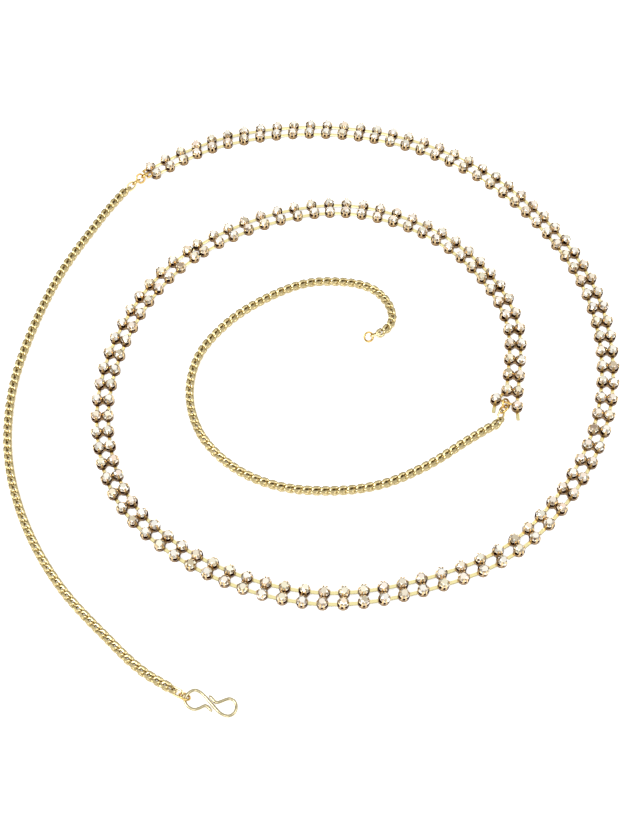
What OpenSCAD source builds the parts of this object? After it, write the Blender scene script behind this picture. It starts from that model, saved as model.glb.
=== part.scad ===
// Waist chain: two rows of stone cups between two plain curb chains, laid out in a spiral on a table.
// Millimetres, +Z up, origin at the middle of the laid out chain on the table.

/* [Cups] */
// Outside diameter of one cup
cup_d = 3.2; // [3:0.05:3.4]
// Height of a cup, from the table to the tips of its claws
cup_h = 2.9; // [2.7:0.05:3.1]
// Wall of a cup beside its stone
cup_wall = 0.25; // [0.2:0.05:0.3]
// Ledge inside the wall that carries the stone
seat_ledge = 0.2; // [0.15:0.05:0.25]
// Height of that ledge above the table
seat_z = 1.7; // [1.5:0.05:1.8]
// Floor of a cup
floor_t = 0.2; // [0.15:0.05:0.25]
// Length of a claw, from its root to its tip
claw_h = 1.55; // [1.45:0.05:1.65]
// Part of a claw that bends in over the stone
claw_bend = 0.45; // [0.35:0.05:0.55]
// How far a claw tip leans in
claw_lean = 0.4; // [0.3:0.05:0.5]
// Opening between two claws
claw_gap = 1.0; // [0.8:0.1:1.2]

/* [Pairs] */
// Clear gap between the two cups of a pair
row_gap = 0.1; // [0.1:0.05:0.3]
// Width of the solder that joins the two cups of a pair
solder_w = 0.9; // [0.6:0.1:1.2]
// Bottom of that solder above the table
solder_z = 0.35; // [0.3:0.05:0.5]
// Mean clear gap between one pair and the next
pair_gap = 2.2; // [2:0.1:2.4]

/* [Bars] */
// Width of a flat bar between two cups
bar_w = 1.0; // [0.8:0.05:1.1]
// Thickness of a bar
bar_t = 0.35; // [0.3:0.05:0.4]
// Length of the head that keeps a bar in the next cup
bar_head_l = 0.3; // [0.2:0.05:0.35]
// Clearance round a bar in the slot of the next cup, and round its head inside that cup
bar_play = 0.14; // [0.12:0.01:0.16]
// Length of a loose bar that sticks out of an end cup
bar_free = 2.7; // [2:0.1:3.5]

/* [Rings and links] */
// Wire of a jump ring
ring_wire = 0.64; // [0.5:0.02:0.7]
// Outside diameter of a jump ring
ring_d = 3.4; // [3.3:0.05:3.6]
// Wire of the cross bars that hold the end rings
cross_wire = 0.7; // [0.6:0.05:0.75]
// Distance from the walls of the first pair to its cross bar
cross_gap = 1.25; // [1.2:0.05:1.6]
// Clear play between a ring or link and what it holds
ring_play = 0.16; // [0.14:0.01:0.2]
// Wire of an end link
link_wire = 0.6; // [0.5:0.02:0.64]
// Outside length of an end link
link_l = 3.9; // [3.6:0.1:4.4]
// Outside width of an end link
link_w = 2.6; // [2.5:0.05:2.7]

/* [Curb chains] */
// Wire of a curb link
curb_wire = 0.75; // [0.7:0.01:0.78]
// Distance from one curb link to the next
curb_pitch = 2.48; // [2.42:0.02:2.56]
// Clear play between one curb link and the next
curb_play = 0.25; // [0.23:0.01:0.28]
// Gap between the inner curb chain and its end links
curb_gap = 0.3; // [0.25:0.05:0.6]

/* [Hook] */
// Overall length of the hook
hook_l = 13.8; // [12.4:0.2:16]
// Overall width of the hook
hook_w = 7.4; // [7.2:0.2:8.6]
// Wire of the hook
hook_wire = 0.82; // [0.7:0.02:0.82]
// How far its ring lifts one end of the hook off the table
hook_lift = 0.8; // [0.76:0.02:0.84]

/* [Hidden] */

// Chosen points of the cup chain, with one before its first pair and one past its last.
cup_route = [[-58.5, 74.5], [-52.5, 81], [-32, 93.5], [-7.5, 99], [17, 97.5], [39.5, 89.5],
    [59, 75], [74, 55.5], [83.5, 33.5], [86, 9], [81.5, -15.5], [69.5, -38], [52, -56],
    [28.5, -66], [4, -70], [-19, -65.5], [-40, -54], [-54.5, -38], [-61, -15.5], [-59.5, 8],
    [-50.5, 31.5], [-36, 48.5], [-14, 61], [9.5, 65], [32.5, 57.5], [49.5, 42], [59, 20.5],
    [57, -4.5], [54.5, -15]];
// Chosen points of the outer curb chain, from the first pair to the hook.
outer_route = [[-63.5, 68.5], [-68.5, 59.5], [-78, 39.5], [-84.5, 18], [-88, -4], [-86.5, -26.5],
    [-79.5, -47.5], [-68, -66.5], [-52.5, -83], [-44.7, -90.1], [-37.4, -94.7]];
// Chosen points of the inner curb chain, from the last pair to its free end.
inner_route = [[48.5, -17.5], [42.5, -21.5], [31, -29.5], [18, -35.5], [4, -37.5],
    [-10.5, -36], [-23, -30], [-32.5, -19.5], [-36.5, -6], [-34.5, 8], [-26.5, 20], [-15.5, 29],
    [-3, 35], [9, 35.5], [17, 33], [21.5, 28], [23, 22.5], [22, 19], [19.7, 16.8]];
// How the pairs bunch up: a share of their number, and the share of the route that it lies at.
slack = [[0, 0], [0.03, 0.0305], [0.11, 0.112], [0.19, 0.1915], [0.26, 0.261], [0.31, 0.311],
    [0.37, 0.3735], [0.46, 0.469], [0.54, 0.548], [0.6, 0.605], [0.65, 0.652], [0.72, 0.7225],
    [0.75, 0.7525], [0.785, 0.786], [0.83, 0.832], [0.88, 0.881], [0.95, 0.9485], [1, 1]];
// How far the pairs are turned from square to the route: a share of their number, and degrees.
skew = [[0, 0], [0.01, -6], [0.025, -22], [0.045, -16], [0.075, -12], [0.1, -5], [0.17, 0],
    [0.2, 8], [0.23, 8], [0.25, -5], [0.28, 0], [0.34, 0], [0.35, 11], [0.37, 7], [0.385, 0],
    [0.4, -5], [0.415, -20], [0.43, -15], [0.45, -11], [0.5, -8], [0.52, 0], [0.81, 0],
    [0.825, 10], [0.84, 0], [1, 0]];
// Pairs that are pushed along the chain: the pair's number, and how far as a share of the pitch.
pushed = [[89, 0.12], [90, -0.13]];
// The two cups past the last pair: how far along in pair pitches, how far across in row pitches,
// and how far the cup is turned.
end_cups = [[0.67, -1.39, -4], [0.96, 0.52, 8]];
// Path of the hook's wire, as shares of its length and width.
hook_path = [[-0.03, 0.3], [0.04, 0.14], [0.095, 0.03], [0.165, 0.035], [0.27, 0.125],
    [0.37, 0.18], [0.46, 0.085], [0.5, -0.11], [0.48, -0.34], [0.395, -0.49], [0.3, -0.5],
    [0.2, -0.41], [0.12, -0.26], [0.04, -0.09], [-0.04, 0.09], [-0.12, 0.26], [-0.205, 0.41],
    [-0.305, 0.5], [-0.4, 0.43], [-0.475, 0.27], [-0.5, 0.08], [-0.465, -0.1], [-0.39, -0.23],
    [-0.305, -0.28], [-0.21, -0.225], [-0.135, -0.14], [-0.085, -0.125], [-0.03, -0.21],
    [0.035, -0.36]];
// Where the hook's wire passes through its ring, in the same shares.
hook_eye = [-0.487, 0.2];
// How far each join is turned: at the first pair, at the hook, at the end cups and at the free end.
start_swing = 11;
hook_swing = 1;
finish_swing = -92;
tail_swing = -15;

row_pitch = cup_d + row_gap;
pair_pitch = cup_d + pair_gap;
stone_r = cup_d / 2 - cup_wall;
chamber_r = stone_r - seat_ledge;
// The slots start a little above the floor of a cup.
slot_z = floor_t + 0.05;
bar_z = slot_z + bar_play;
// Middle of a bar's head, short of the middle of the cup that holds it.
head_inset = 0.25;
head_w = 2 * sqrt(pow(chamber_r - bar_play, 2) - pow(head_inset + bar_head_l / 2, 2));
// How deep a bar or an arm is sunk in the wall that it grows out of.
embed = 0.2;
// Rings and links stand across the chain at this slope.
slope = 45;
ring_r = (ring_d - ring_wire) / 2;
ring_z = ring_r * sin(slope) + ring_wire / 2;
link_r = (link_w - link_wire) / 2;
link_half = (link_l - link_wire) / 2;
// A curb link has round ends that are twisted out of flat, and each of its sides is two equal bends.
// The sines and cosines are exact decimals and the radius goes in steps, so that all bends meet exactly.
twist_sin = 0.5376;
twist_cos = 0.8432;
bend_sin = 0.96;
bend_cos = 0.28;
bend_share = twist_sin / (1 - bend_cos);
curb_step = 0.015;
curb_r = curb_step * round((curb_pitch + curb_wire + curb_play) / 2
    / (1 + bend_sin * bend_share) / curb_step);
curb_bend = curb_r * bend_share;
curb_side = curb_bend * bend_sin;
curb_w = 2 * curb_r * twist_cos + curb_wire;
curb_t = 2 * curb_r * twist_sin + curb_wire;
// An end link comes down from the height of its ring to the height of the curb chain.
link_z = (ring_z + curb_t / 2) / 2;
link_dip = asin((ring_z - curb_t / 2) / 2 / link_half);
tube_sides = 10;
tube_z = curb_t / 2 * cos(180 / tube_sides);
outer_steps = 12;
inner_steps = 2;
hook_sides = 8;
hook_steps = 2;
cup_steps = 12;

// A smooth curve through chosen points: a cubic on each span, whose slope at a point follows its neighbours.
function span(a, b, c, d, t) =
    0.5 * (2 * b + (c - a) * t + (2 * a - 5 * b + 4 * c - d) * t * t
        + (3 * b - a - 3 * c + d) * t * t * t);
function curve(p, steps, first = 0) = let (n = len(p) - 1) concat(
    [for (i = [first:n - 1], k = [0:steps - 1])
        span(i == 0 ? 2 * p[0] - p[1] : p[i - 1], p[i], p[i + 1],
            i == n - 1 ? 2 * p[n] - p[n - 1] : p[i + 2], k / steps)],
    [p[n]]);
function lengths(c) = [for (i = 0, s = 0; i < len(c);
    s = s + (i + 1 < len(c) ? norm(c[i + 1] - c[i]) : 0), i = i + 1) s];
// A measured curve: tables from length along it to x and to y, and the lengths themselves.
function measured(c) = let (s = lengths(c)) [
    [for (i = [0:len(c) - 1]) [s[i], c[i].x]],
    [for (i = [0:len(c) - 1]) [s[i], c[i].y]],
    s];
function at(m, s) = [lookup(s, m[0]), lookup(s, m[1])];
function turned(a) = [cos(a), sin(a)];
function angle_of(v) = atan2(v.y, v.x);

// Where the cups lie: pairs are counted from the run and the pitch, then bunched up by the slack.
cup_curve = measured(curve(cup_route, cup_steps));
cup_lengths = cup_curve[2];
cup_start = cup_lengths[cup_steps];
cup_run = cup_lengths[len(cup_lengths) - 1 - cup_steps] - cup_start;
pairs = 1 + round(cup_run / pair_pitch);
outer_pairs = floor(pairs / 2);
function push(i) = let (k = search(i, pushed)) len(k) > 0 ? pushed[k[0]][1] * pair_pitch : 0;
function along(i) = cup_start + cup_run * lookup(i / (pairs - 1), slack) + push(i);
function pair_at(i) = at(cup_curve, along(i));
function heading(i) = angle_of(at(cup_curve, along(i) + pair_pitch / 2)
    - at(cup_curve, along(i) - pair_pitch / 2)) + lookup(i / (pairs - 1), skew);
function end_cup(side) = end_cups[side > 0 ? 1 : 0];
function end_cup_at(side) = let (e = end_cup(side), turn = heading(pairs - 1))
    pair_at(pairs - 1) + e[0] * pair_pitch * turned(turn) + e[1] * row_pitch * turned(turn + 90);
function cup_at(i, side) = i < pairs
    ? pair_at(i) + side * row_pitch / 2 * turned(heading(i) + 90)
    : end_cup_at(side);

// Distances along a join, from one middle to the next, with the play between the wires.
function hold(wire) = ring_r - (ring_wire + wire) / 2 - ring_play;
ring_to_ring = ring_r + hold(ring_wire);
ring_to_link = link_half + hold(link_wire);
link_to_curb = link_half + curb_side + curb_r - (link_wire + curb_wire) / 2 - ring_play;
link_to_tube = link_l / 2 + curb_gap;
// A bar, and more so the hook, lies further inside its ring than the play needs.
ease = 0.1;
hook_ease = 0.2;
ring_on_bar = hold(cross_wire) - ease;
ring_on_hook = hold(hook_wire) - hook_ease;

// The join at the first pair.
cross_reach = cup_d / 2 + cross_gap;
start_turn = heading(0) + 180 + start_swing;
function start_at(reach) = pair_at(0) - cross_reach * turned(heading(0)) + reach * turned(start_turn);
start_link = ring_on_bar + 2 * ring_to_ring + ring_to_link;
outer_points = concat([start_at(start_link), start_at(start_link + link_to_curb)], outer_route);

// The join at the hook.
outer_end = outer_route[len(outer_route) - 1];
hook_turn = angle_of(outer_end - outer_route[len(outer_route) - 2]) + hook_swing;
function hook_end_at(reach) = outer_end + reach * turned(hook_turn);
hook_ring_reach = link_to_curb + ring_to_link;
hook_at = hook_end_at(hook_ring_reach + ring_on_hook)
    - [hook_eye.x * (hook_l - hook_wire), hook_eye.y * (hook_w - hook_wire)];
hook_z = hook_wire / 2 * cos(180 / hook_sides);
// The outer curb chain: its links are counted from its run and the pitch.
outer_curve = measured(curve(outer_points, outer_steps, 1));
outer_run = max(outer_curve[2]);
outer_links = 1 + round(outer_run / curb_pitch);
outer_half = floor(outer_links / 2);
function outer_along(i) = outer_run * i / (outer_links - 1);
function outer_turn(i) = angle_of(at(outer_curve, outer_along(i) + curb_pitch / 2)
    - at(outer_curve, outer_along(i) - curb_pitch / 2));

// The join at the two end cups.
bridge_from = end_cup_at(-1);
bridge_to = end_cup_at(1);
bridge_turn = angle_of(bridge_to - bridge_from);
finish_turn = bridge_turn + finish_swing;
function finish_at(reach) = (bridge_from + bridge_to) / 2 + reach * turned(finish_turn);
finish_link = ring_on_bar + ring_to_ring + ring_to_link;
inner_points = concat([finish_at(finish_link), finish_at(finish_link + link_to_tube)], inner_route);

// The free end.
inner_end = inner_route[len(inner_route) - 1];
tail_turn = angle_of(inner_end - inner_route[len(inner_route) - 2]) + tail_swing;
function tail_at(reach) = inner_end + reach * turned(tail_turn);

// One cup: a wall with a floor, a ledge for the stone and four claws that bend in over it.
module cup() {
    r = cup_d / 2;
    bend_z = cup_h - claw_bend;
    difference() {
        rotate_extrude($fn = 48)
            polygon([[0, 0], [r, 0], [r, bend_z], [r - claw_lean, cup_h],
                [r - claw_lean - cup_wall / 2, cup_h - cup_wall / 2], [stone_r, bend_z],
                [stone_r, seat_z], [chamber_r, seat_z], [chamber_r, floor_t], [0, floor_t]]);
        for (turn = [0, 90])
            rotate(turn)
                translate([-cup_d, -claw_gap / 2, cup_h - claw_h])
                    cube([2 * cup_d, claw_gap, 2 * claw_h]);
    }
}

// The opening in a cup's wall where a bar comes in from the given direction.
module slot(turn) {
    width = bar_w + 2 * bar_play;
    rotate(turn)
        translate([chamber_r / 2, -width / 2, slot_z])
            cube([cup_d, width, bar_t + 2 * bar_play]);
}

// A flat bar out of a cup's wall, with a head that stays inside the next cup.
module bar(turn, reach) {
    start = cup_d / 2 - embed;
    rotate(turn)
        translate([0, 0, bar_z]) {
            translate([start, -bar_w / 2, 0])
                cube([reach - head_inset - start, bar_w, bar_t]);
            translate([reach - head_inset - bar_head_l / 2, -head_w / 2, 0])
                cube([bar_head_l, head_w, bar_t]);
        }
}

// Two soldered cups with the two bars that reach into the next pair.
module double_cup(i) {
    turn = heading(i);
    sink = row_gap / 2 + cup_wall;
    translate(pair_at(i))
        rotate(turn) {
            for (side = [-1, 1])
                translate([0, side * row_pitch / 2, 0]) {
                    difference() {
                        cup();
                        if (i > 0)
                            slot(angle_of(cup_at(i - 1, side) - cup_at(i, side)) - turn);
                    }
                    out = cup_at(i + 1, side) - cup_at(i, side);
                    bar(angle_of(out) - turn, norm(out));
                }
            translate([-solder_w / 2, -sink, solder_z])
                cube([solder_w, 2 * sink, cup_h - claw_h - solder_z]);
            if (i == 0)
                start_cross();
        }
}

// The cross bar behind the first pair, on two short arms.
module start_cross() {
    arm_l = cross_reach - cup_d / 2 + embed;
    for (side = [-1, 1])
        translate([-cross_reach, side * row_pitch / 2 - cross_wire / 2, ring_z - cross_wire / 2])
            cube([arm_l, cross_wire, cross_wire]);
    translate([-cross_reach, (row_pitch + cross_wire) / 2, ring_z])
        rotate([90, 0, 0])
            cylinder(d = cross_wire, h = row_pitch + cross_wire, $fn = 32);
}

// A piece of round wire, bent to an arc.
module bent_wire(radius, wire, angle = 360) {
    rotate_extrude(angle = angle, $fn = 48)
        translate([radius, 0])
            circle(d = wire, $fn = 24);
}

// A round jump ring that stands at a slope across the line of the chain.
module ring(place, turn, lean) {
    translate([place.x, place.y, ring_z])
        rotate([0, 0, turn])
            rotate([lean, 0, 0])
                bent_wire(ring_r, ring_wire);
}

// An oval link: two round ends and two straight sides. It dips away from its ring.
module oval_link(place, turn, lean) {
    side_l = 2 * (link_half - link_r);
    translate([place.x, place.y, link_z])
        rotate([0, link_dip, turn])
            rotate([lean, 0, 0]) {
                for (end = [0, 180])
                    rotate(end)
                        translate([side_l / 2, 0, 0])
                            rotate(-90)
                                bent_wire(link_r, link_wire, 180);
                for (side = [-1, 1])
                    translate([-side_l / 2, side * link_r, 0])
                        rotate([0, 90, 0])
                            cylinder(d = link_wire, h = side_l, $fn = 24);
            }
}

// A curb link: two round ends twisted opposite ways, and sides that bend down and up between them.
module curb_link(place, turn) {
    translate([place.x, place.y, curb_t / 2])
        rotate(turn)
            for (end = [0, 180])
                rotate(end) {
                    translate([curb_side, 0, 0])
                        rotate([-atan2(twist_sin, twist_cos), 0, 0])
                            rotate(-90)
                                bent_wire(curb_r, curb_wire, 180);
                    for (side = [-1, 1])
                        translate([curb_side, side * curb_r * twist_cos,
                            side * (curb_bend - curb_r * twist_sin)])
                            rotate([90, 0, 0])
                                rotate(side > 0 ? -90 - asin(bend_sin) : 90)
                                    bent_wire(curb_bend, curb_wire, asin(bend_sin));
                }
}

// A closed tube swept through points: rings of points across the path, joined side by side.
module swept(path, width, height, sides) {
    n = len(path);
    points = [for (i = [0:n - 1])
        let (turn = angle_of(path[min(i + 1, n - 1)] - path[max(i - 1, 0)]) + 90)
        for (k = [0:sides - 1])
            let (a = 360 * (k + 0.5) / sides - 90, out = width / 2 * cos(a))
            [path[i].x + out * cos(turn), path[i].y + out * sin(turn),
                path[i].z + height / 2 * sin(a)]];
    walls = [for (i = [0:n - 2], k = [0:sides - 1])
        let (next = (k + 1) % sides)
        [i * sides + k, (i + 1) * sides + k, (i + 1) * sides + next, i * sides + next]];
    first = [for (k = [0:sides - 1]) k];
    last = [for (k = [0:sides - 1]) n * sides - 1 - k];
    polyhedron(points = points, faces = concat([first, last], walls), convexity = 6);
}

module s_hook() {
    path = [for (p = curve(hook_path, hook_steps))
        [hook_at.x + p.x * (hook_l - hook_wire), hook_at.y + p.y * (hook_w - hook_wire),
            hook_z + hook_lift * (0.5 - p.x)]];
    color("palegoldenrod")
        swept(path, hook_wire, hook_wire, hook_sides);
}

module hook_ring() {
    color("goldenrod")
        ring(hook_end_at(hook_ring_reach), hook_turn, -slope);
}

module outer_chain_hook_link() {
    color("gold")
        oval_link(hook_end_at(link_to_curb), hook_turn + 180, -slope);
}

module outer_curb_chain(from, to) {
    color("gold")
        for (i = [from:to])
            curb_link(at(outer_curve, outer_along(i)), outer_turn(i));
}

module outer_chain_join_link() {
    color("gold")
        oval_link(start_at(start_link), start_turn, -slope);
}

module outer_join_ring(number) {
    color("goldenrod")
        ring(start_at(ring_on_bar + (number - 1) * ring_to_ring), start_turn,
            number % 2 == 1 ? slope : -slope);
}

module cup_chain(from, to) {
    color("khaki")
        for (i = [from:to])
            double_cup(i);
}

// Two cups that have swung apart past the last pair, with the bar between them and their loose bars.
module end_pair() {
    color("khaki") {
        for (side = [-1, 1]) {
            place = end_cup_at(side);
            turn = heading(pairs - 1) + end_cup(side)[2];
            translate(place) {
                difference() {
                    rotate(turn)
                        cup();
                    slot(angle_of(cup_at(pairs - 1, side) - place));
                }
                rotate(turn)
                    translate([cup_d / 2 - embed, -bar_w / 2, bar_z])
                        cube([bar_free + embed, bar_w, bar_t]);
            }
        }
        translate([bridge_from.x, bridge_from.y, ring_z])
            rotate([0, 90, bridge_turn])
                translate([0, 0, cup_d / 2 - embed])
                    cylinder(d = cross_wire, h = norm(bridge_to - bridge_from) - cup_d + 2 * embed,
                        $fn = 32);
    }
}

module inner_join_ring(number) {
    color("goldenrod")
        ring(finish_at(ring_on_bar + (number - 1) * ring_to_ring), finish_turn,
            number % 2 == 1 ? -slope : slope);
}

module inner_chain_join_link() {
    color("gold")
        oval_link(finish_at(finish_link), finish_turn, -slope);
}

// The inner curb chain's stand-in: one tube as wide and as thick as the chain, along its route.
module inner_curb_chain() {
    path = [for (p = curve(inner_points, inner_steps, 1)) [p.x, p.y, tube_z]];
    color("gold")
        swept(path, curb_w, curb_t, tube_sides);
}

module inner_chain_end_link() {
    color("gold")
        oval_link(tail_at(link_to_tube), tail_turn + 180, -slope);
}

module end_ring() {
    color("goldenrod")
        ring(tail_at(link_to_tube + ring_to_link), tail_turn, -slope);
}

s_hook();
hook_ring();
outer_chain_hook_link();
outer_curb_chain(outer_half, outer_links - 1);  // outer_curb_chain_finish
outer_curb_chain(0, outer_half - 1);  // outer_curb_chain_start
outer_chain_join_link();
outer_join_ring(1);  // outer_join_ring_1
outer_join_ring(2);  // outer_join_ring_2
outer_join_ring(3);  // outer_join_ring_3
cup_chain(0, outer_pairs - 1);  // cup_chain_outer
cup_chain(outer_pairs, pairs - 1);  // cup_chain_inner
end_pair();
inner_join_ring(1);  // inner_join_ring_1
inner_join_ring(2);  // inner_join_ring_2
inner_chain_join_link();
inner_curb_chain();
inner_chain_end_link();
end_ring();
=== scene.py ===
"""Waist chain laid out in a spiral: stone cups in pairs, bars, curb chains, rings and a hook."""

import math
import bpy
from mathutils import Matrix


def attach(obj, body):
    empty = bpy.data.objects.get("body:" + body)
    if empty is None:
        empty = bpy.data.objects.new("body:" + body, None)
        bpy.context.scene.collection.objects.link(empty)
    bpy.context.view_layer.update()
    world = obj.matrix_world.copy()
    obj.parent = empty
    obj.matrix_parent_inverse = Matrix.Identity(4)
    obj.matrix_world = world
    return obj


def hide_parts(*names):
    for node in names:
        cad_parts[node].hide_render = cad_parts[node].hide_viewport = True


bl_info = {
    "name": "Waist chain",
    "version": (1, 0, 0),
    "blender": (4, 5, 0),
    "location": "3D View > Sidebar > Waist chain",
    "description": "Dresses the packed waist chain: cups, stones, bars, links, rings and hook",
    "category": "Object",
}

import bpy
import numpy as np
from bpy.props import FloatProperty, FloatVectorProperty, IntProperty, PointerProperty
from bpy.types import Operator, Panel, PropertyGroup
from mathutils import Vector

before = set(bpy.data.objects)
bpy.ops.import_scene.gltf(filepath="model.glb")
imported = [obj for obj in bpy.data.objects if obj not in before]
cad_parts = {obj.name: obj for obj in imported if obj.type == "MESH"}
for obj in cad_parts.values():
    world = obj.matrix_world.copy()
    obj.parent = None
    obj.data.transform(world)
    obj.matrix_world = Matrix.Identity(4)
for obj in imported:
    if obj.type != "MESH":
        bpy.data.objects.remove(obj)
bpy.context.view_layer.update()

MM = 0.001
UP = np.array((0.0, 0.0, 1.0))

# Chosen points of the cup chain, with one before its first pair and one past its last.
CUP_ROUTE = MM * np.array([
    (-58.5, 74.5), (-52.5, 81), (-32, 93.5), (-7.5, 99), (17, 97.5), (39.5, 89.5), (59, 75),
    (74, 55.5), (83.5, 33.5), (86, 9), (81.5, -15.5), (69.5, -38), (52, -56), (28.5, -66),
    (4, -70), (-19, -65.5), (-40, -54), (-54.5, -38), (-61, -15.5), (-59.5, 8), (-50.5, 31.5),
    (-36, 48.5), (-14, 61), (9.5, 65), (32.5, 57.5), (49.5, 42), (59, 20.5), (57, -4.5),
    (54.5, -15),
])
# Chosen points of the outer curb chain, from the first pair to the hook.
OUTER_ROUTE = MM * np.array([
    (-63.5, 68.5), (-68.5, 59.5), (-78, 39.5), (-84.5, 18), (-88, -4), (-86.5, -26.5),
    (-79.5, -47.5), (-68, -66.5), (-52.5, -83), (-44.7, -90.1), (-37.4, -94.7),
])
# Chosen points of the inner curb chain, from the last pair to its free end.
INNER_ROUTE = MM * np.array([
    (48.5, -17.5), (42.5, -21.5), (31, -29.5), (18, -35.5), (4, -37.5), (-10.5, -36), (-23, -30),
    (-32.5, -19.5), (-36.5, -6), (-34.5, 8), (-26.5, 20), (-15.5, 29), (-3, 35), (9, 35.5),
    (17, 33), (21.5, 28), (23, 22.5), (22, 19), (19.7, 16.8),
])
# How the pairs bunch up: a share of their number, and the share of the route that it lies at.
SLACK = np.array([
    (0, 0), (0.03, 0.0305), (0.11, 0.112), (0.19, 0.1915), (0.26, 0.261), (0.31, 0.311),
    (0.37, 0.3735), (0.46, 0.469), (0.54, 0.548), (0.6, 0.605), (0.65, 0.652), (0.72, 0.7225),
    (0.75, 0.7525), (0.785, 0.786), (0.83, 0.832), (0.88, 0.881), (0.95, 0.9485), (1, 1),
])
# How far the pairs are turned from square to the route: a share of their number, and degrees.
SKEW = np.array([
    (0, 0), (0.01, -6), (0.025, -22), (0.045, -16), (0.075, -12), (0.1, -5), (0.17, 0),
    (0.2, 8), (0.23, 8), (0.25, -5), (0.28, 0), (0.34, 0), (0.35, 11), (0.37, 7), (0.385, 0),
    (0.4, -5), (0.415, -20), (0.43, -15), (0.45, -11), (0.5, -8), (0.52, 0), (0.81, 0),
    (0.825, 10), (0.84, 0), (1, 0),
])
# Pairs that are pushed along the chain: the pair's number, and how far as a share of the pitch.
PUSHED = {89: 0.12, 90: -0.13}
# The two cups past the last pair: how far along in pair pitches, how far across in row pitches,
# and how far the cup is turned, for the right row and then the left.
END_CUPS = ((0.67, -1.39, -4), (0.96, 0.52, 8))
# Path of the hook's wire, as shares of its length and width.
HOOK_PATH = np.array([
    (-0.03, 0.3), (0.04, 0.14), (0.095, 0.03), (0.165, 0.035), (0.27, 0.125), (0.37, 0.18),
    (0.46, 0.085), (0.5, -0.11), (0.48, -0.34), (0.395, -0.49), (0.3, -0.5), (0.2, -0.41),
    (0.12, -0.26), (0.04, -0.09), (-0.04, 0.09), (-0.12, 0.26), (-0.205, 0.41), (-0.305, 0.5),
    (-0.4, 0.43), (-0.475, 0.27), (-0.5, 0.08), (-0.465, -0.1), (-0.39, -0.23),
    (-0.305, -0.28), (-0.21, -0.225), (-0.135, -0.14), (-0.085, -0.125), (-0.03, -0.21),
    (0.035, -0.36),
])
# Where the hook's wire passes through its ring, in the same shares.
HOOK_EYE = np.array((-0.487, 0.2))
# How far each join is turned, in degrees: first pair, hook, end cups and free end.
START_SWING, HOOK_SWING, FINISH_SWING, TAIL_SWING = 11, 1, -92, -15
# Where a cup's claws stand, in degrees from its heading.
CLAWS = np.array((0, 72, 108, 180, 252, 288))


def length_prop(name, text, size):
    """A size of the chain, in metres, that shows in the panel."""
    return FloatProperty(
        name=name, description=text, default=size, min=0, unit="LENGTH", precision=5
    )


def colour_prop(name, text, colour):
    """A colour of a finish, linear, that shows in the panel."""
    return FloatVectorProperty(
        name=name, description=text, default=colour, min=0, max=1, size=3, subtype="COLOR"
    )


class CHAIN_PG_sizes(PropertyGroup):
    """Real sizes of the chain, and those that it has only as it looks."""

    cup_d: length_prop("Cup diameter", "Outside diameter of one cup", 3.2 * MM)
    cup_h: length_prop("Cup height", "Table to claw tips", 2.9 * MM)
    cup_wall: length_prop("Cup wall", "Wall of the solid cup", 0.25 * MM)
    rim_wall: length_prop("Rim wall", "Wall beside the stone", 0.14 * MM)
    seat_z: length_prop("Seat height", "Height of the ledge under the stone", 1.7 * MM)
    claw_h: length_prop("Claw length", "From a claw's root to its tip", 1.55 * MM)
    claw_lean: length_prop("Claw lean", "How far a claw tip leans in", 0.4 * MM)
    row_gap: length_prop("Row gap", "Gap between the two cups of a pair", 0.1 * MM)
    pair_gap: length_prop("Pair gap", "Mean gap between one pair and the next", 2.2 * MM)
    bar_w: length_prop("Bar width", "Width of a flat bar", 1.0 * MM)
    bar_t: length_prop("Bar thickness", "Thickness of a flat bar", 0.35 * MM)
    bar_z: length_prop("Bar height", "Underside of a bar above the table", 0.39 * MM)
    bar_free: length_prop("Loose bar", "Length of a bar that sticks out of an end cup", 2.7 * MM)
    ring_wire: length_prop("Ring wire", "Wire of a jump ring", 0.64 * MM)
    ring_d: length_prop("Ring diameter", "Outside diameter of a jump ring", 3.4 * MM)
    ring_play: length_prop("Ring play", "Play between a ring and what it holds", 0.16 * MM)
    cross_wire: length_prop("Cross bar wire", "Wire of the bars that hold the rings", 0.7 * MM)
    cross_gap: length_prop("Cross bar gap", "First pair to its cross bar", 1.25 * MM)
    link_wire: length_prop("Link wire", "Wire of an end link", 0.6 * MM)
    link_l: length_prop("Link length", "Outside length of an end link", 3.9 * MM)
    link_w: length_prop("Link width", "Outside width of an end link", 2.6 * MM)
    curb_wire: length_prop("Curb wire", "Wire of a curb link", 0.75 * MM)
    curb_r: length_prop("Curb end radius", "Radius of a curb link's round end", 1.02 * MM)
    curb_pitch: length_prop("Curb pitch", "From one curb link to the next", 2.48 * MM)
    curb_gap: length_prop("Curb gap", "Inner curb chain to its end links in the solids", 0.3 * MM)
    curb_look: length_prop("Curb wire look", "Wire of a curb link as it looks", 0.95 * MM)
    curb_reach: length_prop("Curb end reach", "Reach of a link's round end as it looks", 1.26 * MM)
    curb_waist: length_prop("Curb waist", "How far a link's sides look drawn in", 0.12 * MM)
    hook_l: length_prop("Hook length", "Overall length of the hook", 13.8 * MM)
    hook_w: length_prop("Hook width", "Overall width of the hook", 7.4 * MM)
    hook_wire: length_prop("Hook wire", "Wire of the hook", 0.82 * MM)
    hook_lift: length_prop("Hook lift", "How far the ring lifts the hook", 0.8 * MM)
    seed: IntProperty(name="Seed", description="Order of small irregularities", default=7, min=0)


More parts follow.
